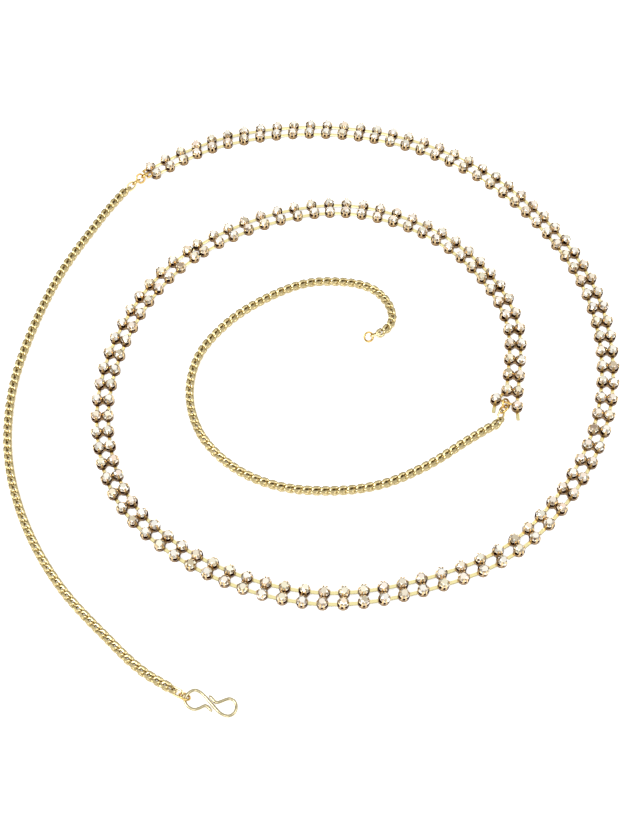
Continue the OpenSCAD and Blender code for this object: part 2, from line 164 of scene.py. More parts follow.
class CHAIN_PG_finish(PropertyGroup):
    """Colours of the finishes."""

    # Each gold runs from its shadow colour to its bright colour by a painted shade on the mesh and
    # random tarnish blotches; the cup's shadow colour between the claws is painted shade as well as
    # tarnish.
    cup_bright: colour_prop("Cup gold", "Polished claws and rims", (0.85, 0.62, 0.31))
    cup_deep: colour_prop("Cup shadow", "Tarnish between the claws", (0.06, 0.014, 0.004))
    bar_bright: colour_prop("Bar gold", "Top of the flat bars", (0.97, 0.86, 0.44))
    bar_deep: colour_prop("Bar shadow", "Sides of the flat bars", (0.12, 0.06, 0.01))
    chain_bright: colour_prop("Chain gold", "Outside of the curb links", (0.88, 0.75, 0.42))
    chain_deep: colour_prop("Chain shadow", "Inside of the curb links", (0.28, 0.2, 0.07))
    ring_bright: colour_prop("Ring gold", "Jump rings and cross bars", (0.7, 0.49, 0.17))
    ring_deep: colour_prop("Ring shadow", "Inside of the jump rings", (0.3, 0.12, 0.02))
    hook_bright: colour_prop("Hook gold", "Pale gold of the hook", (0.56, 0.49, 0.3))
    hook_deep: colour_prop("Hook shadow", "Tarnish of the hook", (0.16, 0.11, 0.05))
    stone_tint: colour_prop("Stone tint", "Champagne tint of the glass", (0.97, 0.93, 0.82))
    floor: colour_prop("Floor", "Plain floor", (0.7, 0.7, 0.7))


class Shape:
    """Points, faces in arrays by their count of sides, a shade a point and a tint a face."""

    def __init__(self, points, faces, shade=1.0, tint=None):
        self.points = np.asarray(points, float).reshape(-1, 3)
        self.faces = [np.asarray(f, int) for f in faces]
        self.shade = np.broadcast_to(np.asarray(shade, float).ravel(), len(self.points)).copy()
        if tint is None:
            tint = [np.ones((len(f), 3)) for f in self.faces]
        self.tint = [np.asarray(t, float) for t in tint]

    def moved(self, turn=0.0, place=(0, 0, 0), lean=0.0, dip=0.0):
        """The shape leaned about X, dipped about Y, turned about Z, in radians, and then moved."""
        matrix = turn_z(turn) @ turn_y(dip) @ turn_x(lean)
        return Shape(self.points @ matrix.T + place, self.faces, self.shade, self.tint)


def turn_x(a):
    """Matrix that turns about X by an angle in radians."""
    return np.array([[1, 0, 0], [0, math.cos(a), -math.sin(a)], [0, math.sin(a), math.cos(a)]])


def turn_y(a):
    """Matrix that turns about Y by an angle in radians."""
    return np.array([[math.cos(a), 0, math.sin(a)], [0, 1, 0], [-math.sin(a), 0, math.cos(a)]])


def turn_z(a):
    """Matrix that turns about Z by an angle in radians."""
    return np.array([[math.cos(a), -math.sin(a), 0], [math.sin(a), math.cos(a), 0], [0, 0, 1]])


def joined(shapes):
    """Several shapes as one: points in a row, and faces counted on from the points before."""
    start = np.cumsum([0] + [len(s.points) for s in shapes])
    return Shape(
        np.vstack([s.points for s in shapes]),
        [f + offset for s, offset in zip(shapes, start) for f in s.faces],
        np.concatenate([s.shade for s in shapes]),
        [t for s in shapes for t in s.tint],
    )


def copies(shape, places, turns, tilts=None, tints=None):
    """A copy of the shape at each place: its points are leaned, turned about Z, and moved."""
    places = np.asarray(places, float)
    turns = np.asarray(turns, float)
    if places.shape[1] == 2:
        places = np.hstack([places, np.zeros((len(places), 1))])
    c, s, zero, one = np.cos(turns), np.sin(turns), 0 * turns, 1 + 0 * turns
    spin = np.stack([c, -s, zero, s, c, zero, zero, zero, one], -1).reshape(-1, 3, 3)
    if tilts is not None:
        # A small lean about X and Y, to first order.
        lean_x, lean_y = np.asarray(tilts).T
        small = np.stack([one, zero, lean_y, zero, one, -lean_x, -lean_y, lean_x, one], -1)
        spin = spin @ small.reshape(-1, 3, 3)
    points = np.einsum("mij,nj->mni", spin, shape.points) + places[:, None]
    step = np.arange(len(places))[:, None, None] * len(shape.points)
    faces = [(f[None] + step).reshape(-1, f.shape[1]) for f in shape.faces]
    tints = tints or [np.tile(t, (len(places), 1)) for t in shape.tint]
    return Shape(points, faces, np.tile(shape.shade, len(places)), tints)


def grid_faces(rows, columns, wrap_rows=False, wrap_columns=True):
    """Four-sided faces of a grid of points. A wrapped side joins its last line to its first."""
    i = np.arange(rows if wrap_rows else rows - 1)[:, None]
    k = np.arange(columns if wrap_columns else columns - 1)[None]
    i_next, k_next = (i + 1) % rows, (k + 1) % columns
    quads = [i * columns + k, i * columns + k_next, i_next * columns + k_next, i_next * columns + k]
    return np.stack(quads, -1).reshape(-1, 4)


def swept(path, outward, out, across, closed=False, shade=1.0):
    """A profile carried along a path.

    At each path point the profile's points lie at the path, plus out times the outward direction
    made square to the path, plus across times the direction square to both.
    """
    if closed:
        along = np.roll(path, -1, 0) - np.roll(path, 1, 0)
    else:
        along = np.gradient(path, axis=0)
    along /= np.linalg.norm(along, axis=1, keepdims=True)
    normal = outward - np.sum(outward * along, 1, keepdims=True) * along
    normal /= np.linalg.norm(normal, axis=1, keepdims=True)
    side = np.cross(along, normal)
    rows = len(path)
    out = np.broadcast_to(out, (rows, np.shape(out)[-1]))
    across = np.broadcast_to(across, out.shape)
    points = path[:, None] + out[..., None] * normal[:, None] + across[..., None] * side[:, None]
    columns = out.shape[1]
    faces = [grid_faces(rows, columns, wrap_rows=closed)]
    if not closed:
        ring = np.arange(columns)
        faces.append(np.stack([ring[::-1], ring + (rows - 1) * columns]))
    return Shape(points, faces, np.broadcast_to(shade, (rows, columns)))


def round_profile(wire, sides):
    """Points of a circle of the wire's diameter, as out and across."""
    a = 2 * np.pi * np.arange(sides) / sides
    return wire / 2 * np.cos(a), wire / 2 * np.sin(a)


def flat_profile(width, thickness, edge):
    """Points of a flat bar with its edges taken off: half the size, less the edge at corners."""
    w, t = width / 2, thickness / 2
    out = np.array([-t, -t + edge, t - edge, t, t, t - edge, -t + edge, -t])
    across = np.array([-w + edge, -w, -w, -w + edge, w - edge, w, w, w - edge])
    return out, across


def smooth_path(points, steps, first=0):
    """A curve through the points: each span is a cubic whose slopes follow the points beside it."""
    ends = 2 * points[0] - points[1], 2 * points[-1] - points[-2]
    p = np.vstack([ends[0], points, ends[1]])
    a, b, c, d = (p[k : len(points) - 1 + k, None] for k in range(4))
    t = (np.arange(steps) / steps)[None, :, None]
    spans = 0.5 * (
        2 * b + (c - a) * t + (2 * a - 5 * b + 4 * c - d) * t**2 + (3 * b - a - 3 * c + d) * t**3
    )
    return np.vstack([spans[first:].reshape(-1, points.shape[1]), points[-1:]])


class Route:
    """A curve on the table that can be asked for the place and the heading at a length along it."""

    def __init__(self, points, steps, first=0):
        self.points = smooth_path(points, steps, first)
        step = np.linalg.norm(np.diff(self.points, axis=0), axis=1)
        self.lengths = np.concatenate([[0], np.cumsum(step)])
        self.run = self.lengths[-1]

    def at(self, s):
        """Place at a length along the curve, held at its ends."""
        return np.stack([np.interp(s, self.lengths, self.points[:, k]) for k in (0, 1)], -1)

    def heading(self, s, span):
        """Direction from half a span before to half a span after, in radians."""
        step = self.at(s + span / 2) - self.at(s - span / 2)
        return np.arctan2(step[..., 1], step[..., 0])


def direction(turn):
    """Unit step on the table for a turn in radians."""
    return np.stack([np.cos(turn), np.sin(turn)], -1)


def turn_of(step):
    """Turn in radians of a step on the table."""
    return math.atan2(step[1], step[0])


class Layout:
    """Where every cup, bar, ring and link lies, worked out from the sizes and the chosen routes."""

    route_steps = 12
    slope = math.radians(45)
    bar_ease = 0.1 * MM
    hook_ease = 0.2 * MM
    twist = np.array((0.5376, 0.8432))
    bend = np.array((0.96, 0.28))

    def __init__(self, z):
        self.row_pitch = z.cup_d + z.row_gap
        self.pair_pitch = z.cup_d + z.pair_gap
        self.ring_r = (z.ring_d - z.ring_wire) / 2
        self.ring_z = self.ring_r * math.sin(self.slope) + z.ring_wire / 2
        self.link_r = (z.link_w - z.link_wire) / 2
        self.link_half = (z.link_l - z.link_wire) / 2
        share = self.twist[0] / (1 - self.bend[1])
        self.curb_bend = z.curb_r * share
        self.curb_side = self.curb_bend * self.bend[0]
        self.curb_t = 2 * z.curb_r * self.twist[0] + z.curb_wire
        self.link_z = (self.ring_z + self.curb_t / 2) / 2
        self.link_dip = math.asin((self.ring_z - self.curb_t / 2) / 2 / self.link_half)
        self.place_cups(z)
        self.place_joins(z)

    def place_cups(self, z):
        """Pairs of cups along their route, bunched up by the slack, and the two end cups."""
        steps = self.route_steps
        route = Route(CUP_ROUTE, steps)
        start = route.lengths[steps]
        run = route.lengths[-1 - steps] - start
        self.pairs = 1 + round(run / self.pair_pitch)
        self.half = self.pairs // 2
        number = np.arange(self.pairs)
        along = start + run * np.interp(number / (self.pairs - 1), SLACK[:, 0], SLACK[:, 1])
        for pair, share in PUSHED.items():
            along[pair] += share * self.pair_pitch
        self.pair_at = route.at(along)
        skew = np.interp(number / (self.pairs - 1), SKEW[:, 0], SKEW[:, 1])
        self.heading = route.heading(along, self.pair_pitch) + np.radians(skew)
        across = self.row_pitch / 2 * direction(self.heading + math.pi / 2)
        # Cups by side, first the right row and then the left, with the end cup last.
        self.cups = []
        self.cup_turns = []
        last = self.heading[-1]
        for side, (far, wide, turn) in zip((-1, 1), END_CUPS):
            end = (
                self.pair_at[-1]
                + far * self.pair_pitch * direction(last)
                + wide * self.row_pitch * direction(last + math.pi / 2)
            )
            self.cups.append(np.vstack([self.pair_at + side * across, end]))
            self.cup_turns.append(np.append(self.heading, last + math.radians(turn)))

    def place_joins(self, z):
        """Rings and end links along each join, from one middle to the next, with their play."""

        def hold(wire):
            return self.ring_r - (z.ring_wire + wire) / 2 - z.ring_play

        ring_to_ring = self.ring_r + hold(z.ring_wire)
        ring_to_link = self.link_half + hold(z.link_wire)
        end_reach = self.curb_side + z.curb_r - (z.link_wire + z.curb_wire) / 2 - z.ring_play
        link_to_curb = self.link_half + end_reach
        link_to_tube = z.link_l / 2 + z.curb_gap
        ring_on_bar = hold(z.cross_wire) - self.bar_ease
        ring_on_hook = hold(z.hook_wire) - self.hook_ease

        # The join at the first pair.
        self.cross_reach = z.cup_d / 2 + z.cross_gap
        bar = self.pair_at[0] - self.cross_reach * direction(self.heading[0])
        turn = self.heading[0] + math.pi + math.radians(START_SWING)
        reach = ring_on_bar + ring_to_ring * np.arange(3)
        self.rings = {
            f"outer_join_ring_{k + 1}": (bar + reach[k] * direction(turn), turn, (1, -1)[k % 2])
            for k in range(3)
        }
        link = bar + (reach[2] + ring_to_link) * direction(turn)
        self.links = {"outer_chain_join_link": (link, turn)}
        outer = np.vstack([link, link + link_to_curb * direction(turn), OUTER_ROUTE])

        # The join at the hook.
        turn = turn_of(OUTER_ROUTE[-1] - OUTER_ROUTE[-2]) + math.radians(HOOK_SWING)
        self.links["outer_chain_hook_link"] = (
            OUTER_ROUTE[-1] + link_to_curb * direction(turn), turn + math.pi,
        )
        ring_at = OUTER_ROUTE[-1] + (link_to_curb + ring_to_link) * direction(turn)
        self.rings["hook_ring"] = (ring_at, turn, -1)
        self.hook_span = np.array((z.hook_l - z.hook_wire, z.hook_w - z.hook_wire))
        self.hook_at = ring_at + ring_on_hook * direction(turn) - HOOK_EYE * self.hook_span

        # The join at the two end cups.
        self.bridge = self.cups[0][-1], self.cups[1][-1]
        turn = turn_of(self.bridge[1] - self.bridge[0]) + math.radians(FINISH_SWING)
        middle = (self.bridge[0] + self.bridge[1]) / 2
        for k in range(2):
            place = middle + (ring_on_bar + k * ring_to_ring) * direction(turn)
            self.rings[f"inner_join_ring_{k + 1}"] = (place, turn, (-1, 1)[k])
        reach = ring_on_bar + ring_to_ring + ring_to_link
        self.links["inner_chain_join_link"] = (middle + reach * direction(turn), turn)
        first = middle + (reach + link_to_curb) * direction(turn)

        # The free end.
        back = turn_of(INNER_ROUTE[-1] - INNER_ROUTE[-2]) + math.radians(TAIL_SWING)
        link = INNER_ROUTE[-1] + link_to_tube * direction(back)
        self.links["inner_chain_end_link"] = (link, back + math.pi)
        ring_at = INNER_ROUTE[-1] + (link_to_tube + ring_to_link) * direction(back)
        self.rings["end_ring"] = (ring_at, back, -1)
        final = link - link_to_curb * direction(back)
        join = self.links["inner_chain_join_link"][0]
        inner = np.vstack([join, first, INNER_ROUTE[:-1], final])
        self.curbs = {
            "outer": Route(outer, self.route_steps, 1),
            "inner": Route(inner, self.route_steps, 1),
        }


def cup_body(z):
    """A cup's wall: rings of points at a radius and a height, joined row by row.

    The rim is as high as the claws' roots, and in the openings, which lie away from every claw, it
    drops to the claws' foot. A painted shade darkens the foot, the openings and the ledge under the
    stone, darkens the wall where it faces the next pair, and is darkest round where the bar from
    the pair before goes in, on the side away from the heading; no slot is cut there.
    """
    sides = 24
    # Half widths in degrees, and how soon each ends.
    claw_side, claw_fade = 8, 2
    slot_side, slot_fade = 32, 15
    a = 2 * np.pi * (np.arange(sides) + 0.5) / sides
    degrees = np.degrees(a)
    from_claws = np.abs((degrees[:, None] - CLAWS + 180) % 360 - 180).min(1)
    opening = np.clip((from_claws - claw_side) / claw_fade, 0, 1)
    # Painted shade round where the bar from the pair before goes in; the wall has no slot cut
    # there.
    slot = np.clip((slot_side - np.abs(degrees - 180)) / slot_fade, 0, 1)
    # Painted shade: the wall is lighter on its sides and darker where it faces the next pair.
    sideways = 0.3 + 0.7 * np.abs(np.sin(a))
    slot_play, foot_edge, ledge = 0.14 * MM, 0.05 * MM, 0.1 * MM
    slot_top = z.bar_z + z.bar_t + slot_play
    low, high = z.cup_h - 1.08 * z.claw_h, z.cup_h - 0.5 * z.claw_h
    rim = high + (low - high) * opening
    r = z.cup_d / 2
    inner = r - z.rim_wall
    # Radius, height and painted shade of each ring: the foot, the top of the slot, the outer and
    # inner edge of the rim, and the ledge under the stone.
    rows = [
        (r - foot_edge, 0 * a, 0.2 * sideways * (1 - slot)),
        (r, slot_top + 0 * a, 0.4 * sideways * (1 - slot)),
        (r, rim, (1 - opening) * (0.4 + 0.6 * sideways)),
        (inner, rim, 0.5 - 0.5 * opening),
        (inner - ledge, 0.9 * low + 0 * a, 0 * a),
    ]
    points = np.array([
        np.stack([radius * np.cos(a), radius * np.sin(a), height], -1) for radius, height, _ in rows
    ])
    ring = np.arange(sides)
    caps = np.stack([ring[::-1], ring + (len(rows) - 1) * sides])
    return Shape(points, [grid_faces(len(rows), sides), caps], [shade for _, _, shade in rows])


def claw(z):
    """One claw: a bent strip along the wall that narrows to its tip and leans in over the stone.

    Its five points across lie on an arc as round as the cup. A painted shade makes the side by the
    stone dark and the claw lighter from its root to its tip.
    """
    r, thick = z.cup_d / 2, 0.2 * MM
    root, bend, tip = z.cup_h - 0.75 * z.claw_h, z.cup_h - 0.58 * MM, z.cup_h - 0.15 * MM
    bend_in, tip_in = 0.07 * MM, 0.08 * MM
    line = np.array([
        (r - thick / 2, root),
        (r - thick / 2 - bend_in, bend),
        (r - z.claw_lean - tip_in, tip),
    ])
    half = np.array([0.23, 0.21, 0.17]) * MM
    path = np.stack([line[:, 0], 0 * line[:, 0], line[:, 1]], -1)
    across = half[:, None] * np.array((-1, 0, 1, 0.8, -0.8))[None]
    out = thick / 2 * np.array((1, 1, 1, -1, -1))[None] - across**2 / (2 * r)
    shade = np.array((0.6, 0.9, 1.0))[:, None] * np.array((1, 1, 1, 0.1, 0.1))
    return swept(path, np.array((1.0, 0.0, 0.0)), out, across, shade=shade)


def stone(z):
    """A round cut stone of eight-fold symmetry: table, stars, kites, girdle and pavilion.

    Its points lie in rings: the table's corners, the kites' corners half a step on, both edges of
    the girdle at twice the count, and one point below.
    """
    r = z.cup_d / 2 - z.rim_wall
    eight = 2 * np.pi * np.arange(8) / 8
    sixteen = 2 * np.pi * np.arange(16) / 16
    low, high = z.seat_z + 0.24 * MM, z.seat_z + 0.42 * MM
    table_r, table_z = 0.56 * r, z.cup_h - 0.02 * MM
    kite_r, kite_z = 0.81 * r, z.cup_h - 0.3 * MM
    culet_z = 0.95 * MM

    def ring(radius, angles, height):
        return np.stack([radius * np.cos(angles), radius * np.sin(angles), height + 0 * angles], -1)

    points = np.vstack([
        ring(table_r, eight, table_z),
        ring(kite_r, eight + np.pi / 8, kite_z),
        ring(r, sixteen, high),
        ring(r, sixteen, low),
        [(0, 0, culet_z)],
    ])
    # Where each ring starts: table, kites, top and bottom of the girdle, and the point below.
    t, s, g, h, culet = 0, 8, 16, 32, 48
    k = np.arange(8)
    n = (k + 1) % 8
    even, odd, after = 2 * k, 2 * k + 1, (2 * k + 2) % 16
    stars = np.stack([t + k, s + k, t + n], -1)
    kites = np.stack([t + n, s + k, g + after, s + n], -1)
    upper = np.vstack([
        np.stack([s + k, g + even, g + odd], -1),
        np.stack([s + k, g + odd, g + after], -1),
    ])
    around = np.arange(16)
    beyond = (around + 1) % 16
    girdle = np.stack([h + around, h + beyond, g + beyond, g + around], -1)
    below = np.stack([h + beyond, h + around, np.full(16, culet)], -1)
    return Shape(points, [k[None] + t, stars, kites, upper, girdle, below])


def stone_tints(count, tint, rng):
    """Tints of every stone's facets: each stone has its cast, and each facet its brightness.

    A facet is bright, or with a smaller chance olive, rosy, brown or dark: painted reflections, as
    cut glass over foil shows them. The girdle is painted peach as a highlight, and what lies below
    it is painted dark as shade.
    """
    cast = np.array([(1, 1, 1), (1, 0.93, 0.88), (0.96, 0.97, 1), (1, 0.97, 0.85)])
    looks = np.array([
        (1, 1, 1), (0.86, 0.86, 0.78), (1, 0.87, 0.8), (0.55, 0.48, 0.34), (0.3, 0.2, 0.12),
    ])
    own = cast[rng.choice(len(cast), count, p=(0.4, 0.22, 0.16, 0.22))][:, None]
    tints = []
    # Count of the facets and the chance of each look, for the table, stars, kites and upper facets.
    chances = (
        (1, (0.72, 0.16, 0.08, 0.03, 0.01)),
        (8, (0.26, 0.2, 0.14, 0.22, 0.18)),
        (8, (0.44, 0.14, 0.14, 0.16, 0.12)),
        (16, (0.5, 0.12, 0.16, 0.12, 0.1)),
    )
    for sides, chance in chances:
        look = looks[rng.choice(len(looks), (count, sides), p=chance)]
        bright = rng.uniform(0.82, 1.03, (count, sides, 1))
        tints.append(np.clip(look * bright * own * tint, 0, 1).reshape(-1, 3))
    # A painted highlight on the girdle, and painted shade on the pavilion below it.
    peach, dark, sides = (0.95, 0.76, 0.56), (0.12, 0.06, 0.03), 16
    return tints + [np.tile(colour, (count * sides, 1)) for colour in (peach, dark)]


def solder(z):
    """The solder between the two cups of a pair: a block with its edges taken off."""
    width, edge = 2.1 * MM, 0.12 * MM
    half = z.row_gap / 2 + 1.6 * z.cup_wall
    low, high = 0.35 * MM, z.cup_h - 1.1 * z.claw_h
    path = np.array([(0, -half, (low + high) / 2), (0, half, (low + high) / 2)])
    out, across = flat_profile(width, high - low, edge)
    # Painted shade: the solder between the cups is dark, as it lies in their shade.
    return swept(path, UP, out, across, shade=0.3)


def bar(z, start, end, turn=0.0, shade=1.0):
    """A flat bar along X from start to end, its edges taken off.

    Its sides have a painted shade, darker than its top. So have its ends, just outside the cups,
    where the chain runs towards the viewer: painted shade that falls with the square of the sine of
    the bar's turn.
    """
    far = z.cup_d / 2
    hidden, dark_to, bright_from, edge = 0.7 * MM, 0.15 * MM, 0.7 * MM, 0.07 * MM
    places = np.array((
        start, far + dark_to, far + bright_from,
        end - hidden - bright_from, end - hidden - dark_to, end,
    ))
    path = np.column_stack([places, 0 * places, z.bar_z + z.bar_t / 2 + 0 * places])
    out, across = flat_profile(z.bar_w, z.bar_t, edge)
    shadow = 1 - 0.95 * math.sin(turn) ** 2
    end_shade = np.array((shadow, shadow, 1, 1, shadow, shadow))[:, None]
    side_shade = np.where(out > 0, 1.0, 0.1)[None] * shade * end_shade
    return swept(path, UP, out, across, shade=side_shade)


def wire_bar(start, end, wire, sides=12):
    """A round wire from start to end, whose radius follows a quarter circle at each end."""
    start, end = np.asarray(start, float), np.asarray(end, float)
    length = np.linalg.norm(end - start)
    a = np.radians((8, 35, 65, 90))
    near = wire / 2 * (1 - np.cos(a))
    along = np.concatenate([near, length - near[::-1]])
    size = np.concatenate([np.sin(a), np.sin(a)[::-1]])[:, None]
    path = start + along[:, None] / length * (end - start)
    out, across = round_profile(wire, sides)
    return swept(path, UP, size * out, size * across)


def jump_ring(radius, wire, cut):
    """A ring of round wire with a thin cut where its ends meet: an arc short of a full turn."""
    rows, sides = 41, 12
    gap = cut / radius
    a = np.linspace(gap / 2, 2 * np.pi - gap / 2, rows)
    path = radius * np.stack([np.cos(a), np.sin(a), 0 * a], -1)
    out, across = round_profile(wire, sides)
    # Painted shade: the inside of a ring is darker than its outside.
    shade = 0.62 + 0.38 * np.clip(out / (wire / 2) + 0.5, 0, 1)
    return swept(path, path / radius, out, across, shade=shade[None])


def end_link(layout, wire):
    """An oval link of round wire: two half circles and two straight sides."""
    rows, sides = 13, 8
    r, side = layout.link_r, layout.link_half - layout.link_r
    a = np.linspace(-np.pi / 2, np.pi / 2, rows)
    x = np.concatenate([side + r * np.cos(a), -side - r * np.cos(a)])
    y = np.concatenate([r * np.sin(a), -r * np.sin(a)])
    path = np.stack([x, y, 0 * x], -1)
    outward = path - np.clip(path, (-side, 0, 0), (side, 0, 0))
    out, across = round_profile(wire, sides)
    # Painted shade: darker inside, where the next link or ring hangs.
    shade = 0.3 + 0.7 * np.clip(out / (wire / 2) + 0.6, 0, 1)
    return swept(path, outward, out, across, closed=True, shade=shade[None])


def curb_link(z, layout):
    """A curb link: two half circles twisted opposite ways, and sides of two equal bends between.

    The half circles are stretched to the reach of the ends, and the sides are drawn in. The wire is
    pressed flat where the link is highest and lowest, so its points stop at those heights.
    """
    end_rows, side_rows, sides = 8, 3, 8
    r, side, bend = z.curb_r, layout.curb_side, layout.curb_bend
    twist_sin, twist_cos = layout.twist
    a = np.linspace(-np.pi / 2, np.pi / 2, end_rows)
    end_x = side + z.curb_reach * np.cos(a)
    end = np.stack([end_x, r * np.sin(a) * twist_cos, -r * np.sin(a) * twist_sin], -1)
    e = np.linspace(0, math.asin(layout.bend[0]), side_rows)[1:]
    rise = -r * twist_sin + bend * (1 - np.cos(e))
    down = np.stack([side - bend * np.sin(e), 0 * e + r * twist_cos, rise], -1)
    up = (down * (-1, 1, -1))[-2::-1]
    half = np.vstack([end, down, up])
    path = np.vstack([half, half * (-1, -1, 1)])
    outward = path - np.clip(path, (-side, 0, 0), (side, 0, 0))
    on_side = np.abs(path[:, :1]) < side + r / 2
    path = path - np.sign(path[:, 1:2]) * (0, z.curb_waist, 0) * on_side
    out, across = round_profile(z.curb_look, sides)
    # A painted highlight at the round ends, which lie along the chain's middle, and painted shade,
    # olive at its two edges and dark inside, where the next link passes.
    edge = np.clip(np.abs(path[:, 1:2]) / (r * twist_cos - z.curb_waist), 0, 1)
    inside = np.clip(-2 * out / z.curb_look, 0, 1)
    outside = np.clip(2 * out / z.curb_look, 0, 1)
    shade = 1 - edge * (0.3 + 0.65 * inside + 0.35 * outside) - (1 - edge) * 0.6 * inside
    link = swept(path, outward, out, across, closed=True, shade=shade)
    press_top, press_bottom = 0.2 * MM, 0.02 * MM
    top, bottom = layout.curb_t / 2 - press_top, layout.curb_t / 2 - press_bottom
    link.points[:, 2] = np.clip(link.points[:, 2], -bottom, top)
    return link


def hook_shape(z, layout):
    """The S hook: one wire along a smooth curve that rises towards the ring, its ends rounded."""
    steps, sides = 6, 14
    line = smooth_path(HOOK_PATH, steps)
    flat = layout.hook_at + line * layout.hook_span
    lift = z.hook_wire / 2 + z.hook_lift * (0.5 - line[:, 0])
    path = np.column_stack([flat, lift])
    tip = np.array((0.2, 0.62, 0.88, 1.0))
    size = np.ones(len(path))
    size[: len(tip)] = tip
    size[-len(tip) :] = tip[::-1]
    along = np.gradient(path, axis=0)
    outward = np.cross(UP, along)
    out, across = round_profile(z.hook_wire, sides)
    return swept(path, outward, size[:, None] * out, size[:, None] * across)


def mesh_object(name, shape, material, smooth=None):
    """An object at the origin whose mesh holds the shape, with its shade and tint as attributes.

    It is smooth up to an angle in degrees, and without one each of its faces is flat.
    """
    mesh = bpy.data.meshes.new(name)
    faces = [face for group in shape.faces for face in group.tolist()]
    mesh.from_pydata(shape.points.tolist(), [], faces)
    shade = mesh.attributes.new("shade", "FLOAT", "POINT")
    shade.data.foreach_set("value", shape.shade.astype(np.float32))
    tints = np.vstack([np.repeat(t, f.shape[1], axis=0) for t, f in zip(shape.tint, shape.faces)])
    tint = mesh.attributes.new("tint", "FLOAT_COLOR", "CORNER")
    colours = np.column_stack([tints, np.ones(len(tints))])
    tint.data.foreach_set("color", colours.astype(np.float32).ravel())
    if smooth is not None:
        mesh.shade_smooth()
        mesh.set_sharp_from_angle(angle=math.radians(smooth))
    mesh.validate()
    mesh.update()
    mesh.materials.append(material)
    piece = bpy.data.objects.new(name, mesh)
    bpy.context.collection.objects.link(piece)
    return piece


def dress(piece, slot, *nodes):
    """The piece rides on the one body and stands for any nodes; its slot is not used."""
    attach(piece, "root")
    if nodes:
        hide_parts(*nodes)


class Socket:
    """A node's output that can be added, taken away and multiplied. Each adds a Math node."""

    def __init__(self, tree, output):
        self.tree, self.output = tree, output

    def _math(self, operation, first, second):
        return self.tree.node("ShaderNodeMath", {"operation": operation}, {0: first, 1: second})

    def __add__(self, other):
        return self._math("ADD", self, other)

    def __radd__(self, other):
        return self._math("ADD", other, self)

    def __sub__(self, other):
        return self._math("SUBTRACT", self, other)

    def __rsub__(self, other):
        return self._math("SUBTRACT", other, self)

    def __mul__(self, other):
        return self._math("MULTIPLY", self, other)

    def __rmul__(self, other):
        return self._math("MULTIPLY", other, self)


class Tree:
    """A node tree that is emptied and then filled with node()."""

    def __init__(self, owner):
        owner.use_nodes = True
        self.nodes, self.links = owner.node_tree.nodes, owner.node_tree.links
        self.nodes.clear()

    def node(self, kind, settings=None, sockets=None, output=0):
        """Adds a node, its settings before the values or links of its sockets. Gives one output."""
        new = self.nodes.new(kind)
        for key, value in (settings or {}).items():
            if key == "stops":
                ramp = new.color_ramp
                while len(ramp.elements) < len(value):
                    ramp.elements.new(0.5)
                for element, (place, colour) in zip(ramp.elements, value):
                    element.position = place
                    element.color = (*colour, 1)
            else:
                setattr(new, key, value)
        for key, value in (sockets or {}).items():
            if isinstance(value, Socket):
                self.links.new(value.output, new.inputs[key])
            else:
                new.inputs[key].default_value = value
        return Socket(self, new.outputs[output]) if len(new.outputs) else None

    def mix(self, factor, first, second):
        """A colour between two colours."""
        return self.node(
            "ShaderNodeMix",
            {"data_type": "RGBA"},
            {"Factor": factor, "A": rgba(first), "B": rgba(second)},
            "Result",
        )

    def noise(self, scale, detail=2.0, roughness=0.5):
        """Noise on Object coordinates, with its scale in waves for each metre."""
        place = self.node("ShaderNodeTexCoord", output="Object")
        sockets = {"Vector": place, "Scale": scale, "Detail": detail, "Roughness": roughness}
        return self.node("ShaderNodeTexNoise", sockets=sockets, output="Fac")

    def attribute(self, name, output="Fac"):
        """An attribute of the mesh."""
        return self.node("ShaderNodeAttribute", {"attribute_name": name}, output=output)

    def ramp(self, factor, stops):
        """A number turned to a colour by stops of place and colour."""
        return self.node("ShaderNodeValToRGB", {"stops": stops}, {"Fac": factor}, "Color")


def rgba(colour):
    """A colour with full alpha, or a socket left as it is."""
    return colour if isinstance(colour, Socket) else (*colour, 1)


def gold(name, bright, deep, rough, pits=0.12, tarnish=0.5):
    """Gold plate: bright where the painted shade is high, deep where it is low, blotched and
    dented.
    """
    blotches, dents = 900, 5200
    dent_depth = 0.05 * MM
    material = bpy.data.materials.new(name)
    tree = Tree(material)
    shade = tree.attribute("shade")
    blotch = tree.noise(blotches, 3)
    fine = tree.noise(dents, 2)
    # Painted shade from the mesh's shade attribute, times random tarnish blotches.
    shade_and_tarnish = shade * (1 - tarnish + 2 * tarnish * blotch)
    middle = tuple(0.4 * b + 0.6 * d for b, d in zip(bright, deep))
    colour = tree.ramp(shade_and_tarnish, [(0.0, deep), (0.45, middle), (0.95, bright)])
    roughness = rough + 0.16 * blotch + 0.14 * (1 - shade)
    bump = {"Strength": pits, "Distance": dent_depth, "Height": fine}
    normal = tree.node("ShaderNodeBump", sockets=bump, output="Normal")
    shader = tree.node(
        "ShaderNodeBsdfPrincipled",
        sockets={"Base Color": colour, "Metallic": 1.0, "Roughness": roughness, "Normal": normal},
    )
    tree.node("ShaderNodeOutputMaterial", sockets={"Surface": shader})
    return material


def glass(name):
    """Cut glass over foil: facet tints with painted reflections, glossy, with a faint cloud inside.
    """
    material = bpy.data.materials.new(name)
    tree = Tree(material)
    tint = tree.attribute("tint", "Color")
    clouds, milky = 1500, (0.98, 0.93, 0.9)
    cloud = tree.noise(clouds, 2)
    colour = tree.mix(0.25 * cloud, tint, milky)
    shader = tree.node(
        "ShaderNodeBsdfPrincipled",
        sockets={
            "Base Color": colour,
            "Metallic": 0.7,
            "Roughness": 0.05 + 0.06 * cloud,
            "IOR": 1.58,
            "Coat Weight": 0.4,
            "Coat Roughness": 0.02,
        },
    )
    tree.node("ShaderNodeOutputMaterial", sockets={"Surface": shader})
    return material


def setting(context):
    """The sizes, the finish and the layout that every step works from."""
    z, finish = context.scene.chain_sizes, context.scene.chain_finish
    return z, finish, Layout(z)


